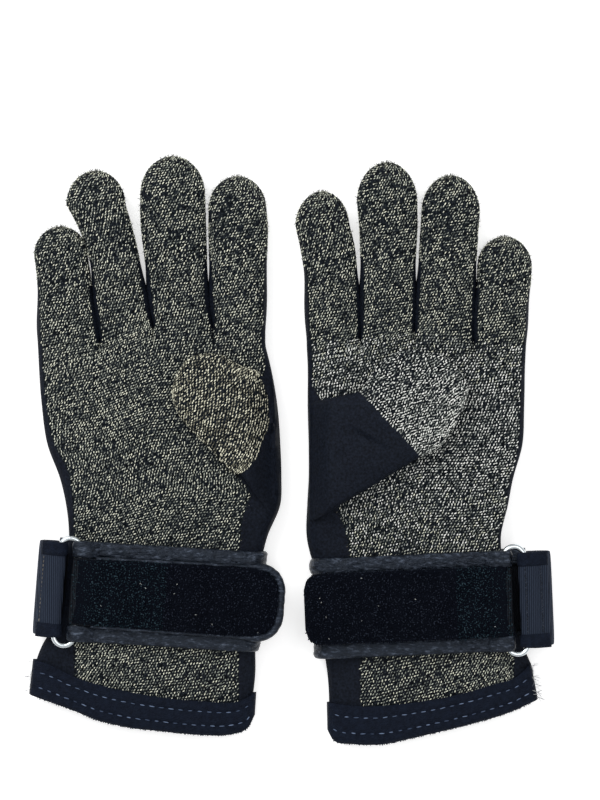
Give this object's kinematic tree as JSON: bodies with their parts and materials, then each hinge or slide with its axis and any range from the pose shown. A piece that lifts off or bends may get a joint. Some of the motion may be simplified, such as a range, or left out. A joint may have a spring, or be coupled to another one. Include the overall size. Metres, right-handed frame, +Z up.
{
  "type": "sailing gloves",
  "caption": "Pair of knit and neoprene sailing gloves, palm up, with folded thumbs, bending fingers and a wrist strap that doubles back through a metal link.",
  "frame": {"origin": "under the middle of the pair, on the surface that the gloves lie on", "axes": "+X from the right-hand glove to the left-hand glove, +Y to the fingertips, +Z up out of the palms"},
  "size_m": [0.2618, 0.292, 0.0323],
  "materials": {
    "aramid_knit": "salt-and-pepper rib knit",
    "neoprene": "jersey-faced neoprene",
    "hem_tape": "matt knitted tape",
    "strap_fabric": "bonded strap fabric",
    "loop_pile": "brushed loop pile",
    "leatherette": "fine-grained edge binding",
    "hook_tape": "moulded hook tape",
    "elastic_webbing": "ribbed elastic webbing",
    "chromed_wire": "polished"
  },
  "bodies": {
    "right_hand": {"right_palm_knit": "aramid_knit", "right_hand_back": "neoprene", "right_thumb_gusset": "neoprene", "right_hem_band": "hem_tape", "right_wrist_strap": "strap_fabric", "right_strap_loop": "loop_pile", "right_strap_binding_finger_side": "leatherette", "right_strap_binding_hem_side": "leatherette", "right_link_tab": "elastic_webbing"},
    "right_index_finger_base": {"right_index_finger_front": "aramid_knit", "right_index_finger_back": "neoprene"},
    "right_index_finger_tip": {"right_index_finger_cap": "aramid_knit"},
    "right_middle_finger_base": {"right_middle_finger_front": "aramid_knit", "right_middle_finger_back": "neoprene"},
    "right_middle_finger_tip": {"right_middle_finger_cap": "aramid_knit"},
    "right_ring_finger_base": {"right_ring_finger_front": "aramid_knit", "right_ring_finger_back": "neoprene"},
    "right_ring_finger_tip": {"right_ring_finger_cap": "aramid_knit"},
    "right_little_finger_base": {"right_little_finger_front": "aramid_knit", "right_little_finger_back": "neoprene"},
    "right_little_finger_tip": {"right_little_finger_cap": "aramid_knit"},
    "right_thumb": {"right_thumb_back": "neoprene", "right_thumb_front": "aramid_knit", "right_thumb_cap": "aramid_knit"},
    "right_link": {"right_strap_link": "chromed_wire"},
    "right_flap": {"right_strap_flap": "strap_fabric", "right_flap_pile": "loop_pile", "right_flap_binding": "leatherette", "right_flap_hook": "hook_tape"},
    "left_hand": {"left_palm_knit": "aramid_knit", "left_hand_back": "neoprene", "left_thumb_gusset": "neoprene", "left_hem_band": "hem_tape", "left_wrist_strap": "strap_fabric", "left_strap_loop": "loop_pile", "left_strap_binding_finger_side": "leatherette", "left_strap_binding_hem_side": "leatherette", "left_link_tab": "elastic_webbing"},
    "left_index_finger_base": {"left_index_finger_front": "aramid_knit", "left_index_finger_back": "neoprene"},
    "left_index_finger_tip": {"left_index_finger_cap": "aramid_knit"},
    "left_middle_finger_base": {"left_middle_finger_front": "aramid_knit", "left_middle_finger_back": "neoprene"},
    "left_middle_finger_tip": {"left_middle_finger_cap": "aramid_knit"},
    "left_ring_finger_base": {"left_ring_finger_front": "aramid_knit", "left_ring_finger_back": "neoprene"},
    "left_ring_finger_tip": {"left_ring_finger_cap": "aramid_knit"},
    "left_little_finger_base": {"left_little_finger_front": "aramid_knit", "left_little_finger_back": "neoprene"},
    "left_little_finger_tip": {"left_little_finger_cap": "aramid_knit"},
    "left_thumb": {"left_thumb_back": "neoprene", "left_thumb_front": "aramid_knit", "left_thumb_cap": "aramid_knit"},
    "left_link": {"left_strap_link": "chromed_wire"},
    "left_flap": {"left_strap_flap": "strap_fabric", "left_flap_pile": "loop_pile", "left_flap_binding": "leatherette", "left_flap_hook": "hook_tape"}
  },
  "joints": [
    {"name": "right_index_finger_base_bend", "type": "hinge", "parent": "right_hand", "child": "right_index_finger_base", "pos_m": [-0.0257, 0.0592, 0.0162], "axis": [1, 0, 0], "range_deg": [0, 70]},
    {"name": "right_index_finger_knuckle_bend", "type": "hinge", "parent": "right_index_finger_base", "child": "right_index_finger_tip", "pos_m": [-0.0265, 0.0937, 0.0162], "axis": [1, 0, 0], "range_deg": [0, 55]},
    {"name": "right_middle_finger_base_bend", "type": "hinge", "parent": "right_hand", "child": "right_middle_finger_base", "pos_m": [-0.0537, 0.0602, 0.0162], "axis": [1, 0, 0], "range_deg": [0, 70]},
    {"name": "right_middle_finger_knuckle_bend", "type": "hinge", "parent": "right_middle_finger_base", "child": "right_middle_finger_tip", "pos_m": [-0.0576, 0.0937, 0.0162], "axis": [1, 0, 0], "range_deg": [0, 55]},
    {"name": "right_ring_finger_base_bend", "type": "hinge", "parent": "right_hand", "child": "right_ring_finger_base", "pos_m": [-0.0815, 0.0572, 0.0162], "axis": [1, 0, 0], "range_deg": [0, 70]},
    {"name": "right_ring_finger_knuckle_bend", "type": "hinge", "parent": "right_ring_finger_base", "child": "right_ring_finger_tip", "pos_m": [-0.087, 0.0937, 0.0162], "axis": [1, 0, 0], "range_deg": [0, 55]},
    {"name": "right_little_finger_base_bend", "type": "hinge", "parent": "right_hand", "child": "right_little_finger_base", "pos_m": [-0.1105, 0.0512, 0.0162], "axis": [1, 0, 0], "range_deg": [0, 70]},
    {"name": "right_little_finger_knuckle_bend", "type": "hinge", "parent": "right_little_finger_base", "child": "right_little_finger_tip", "pos_m": [-0.1132, 0.0797, 0.0162], "axis": [1, 0, 0], "range_deg": [0, 55]},
    {"name": "right_thumb_lift", "type": "hinge", "parent": "right_hand", "child": "right_thumb", "pos_m": [-0.011, 0.0055, 0.01815], "axis": [0, 1, 0], "range_deg": [0, 90]},
    {"name": "right_link_tilt", "type": "hinge", "parent": "right_hand", "child": "right_link", "pos_m": [-0.11547, -0.06942, 0.0185], "axis": [-0.0785, -0.9969, 0], "range_deg": [0, 35]},
    {"name": "right_flap_open", "type": "hinge", "parent": "right_link", "child": "right_flap", "pos_m": [-0.1055, -0.0702, 0.0185], "axis": [-0.0785, -0.9969, 0], "range_deg": [0, 120]},
    {"name": "left_index_finger_base_bend", "type": "hinge", "parent": "left_hand", "child": "left_index_finger_base", "pos_m": [0.0207, 0.0547, 0.0162], "axis": [1, 0, 0], "range_deg": [0, 70]},
    {"name": "left_index_finger_knuckle_bend", "type": "hinge", "parent": "left_index_finger_base", "child": "left_index_finger_tip", "pos_m": [0.0192, 0.0897, 0.0162], "axis": [1, 0, 0], "range_deg": [0, 55]},
    {"name": "left_middle_finger_base_bend", "type": "hinge", "parent": "left_hand", "child": "left_middle_finger_base", "pos_m": [0.0467, 0.0572, 0.0162], "axis": [1, 0, 0], "range_deg": [0, 70]},
    {"name": "left_middle_finger_knuckle_bend", "type": "hinge", "parent": "left_middle_finger_base", "child": "left_middle_finger_tip", "pos_m": [0.0477, 0.0937, 0.0162], "axis": [1, 0, 0], "range_deg": [0, 55]},
    {"name": "left_ring_finger_base_bend", "type": "hinge", "parent": "left_hand", "child": "left_ring_finger_base", "pos_m": [0.0742, 0.0562, 0.0162], "axis": [1, 0, 0], "range_deg": [0, 70]},
    {"name": "left_ring_finger_knuckle_bend", "type": "hinge", "parent": "left_ring_finger_base", "child": "left_ring_finger_tip", "pos_m": [0.0766, 0.0937, 0.0162], "axis": [1, 0, 0], "range_deg": [0, 55]},
    {"name": "left_little_finger_base_bend", "type": "hinge", "parent": "left_hand", "child": "left_little_finger_base", "pos_m": [0.103, 0.0522, 0.0162], "axis": [1, 0, 0], "range_deg": [0, 70]},
    {"name": "left_little_finger_knuckle_bend", "type": "hinge", "parent": "left_little_finger_base", "child": "left_little_finger_tip", "pos_m": [0.1054, 0.0797, 0.0162], "axis": [1, 0, 0], "range_deg": [0, 55]},
    {"name": "left_thumb_lift", "type": "hinge", "parent": "left_hand", "child": "left_thumb", "pos_m": [0.0085, -0.00725, 0.01815], "axis": [0, -1, 0], "range_deg": [0, 90]},
    {"name": "left_link_tilt", "type": "hinge", "parent": "left_hand", "child": "left_link", "pos_m": [0.11559, -0.07376, 0.0185], "axis": [-0.0436, 0.999, 0], "range_deg": [0, 35]},
    {"name": "left_flap_open", "type": "hinge", "parent": "left_link", "child": "left_flap", "pos_m": [0.1056, -0.0742, 0.0185], "axis": [-0.0436, 0.999, 0], "range_deg": [0, 120]},
    {"name": "gloves_apart", "type": "slide", "parent": "right_hand", "child": "left_hand", "axis": [1, 0, 0], "range_m": [0, 0.1]}
  ]
}
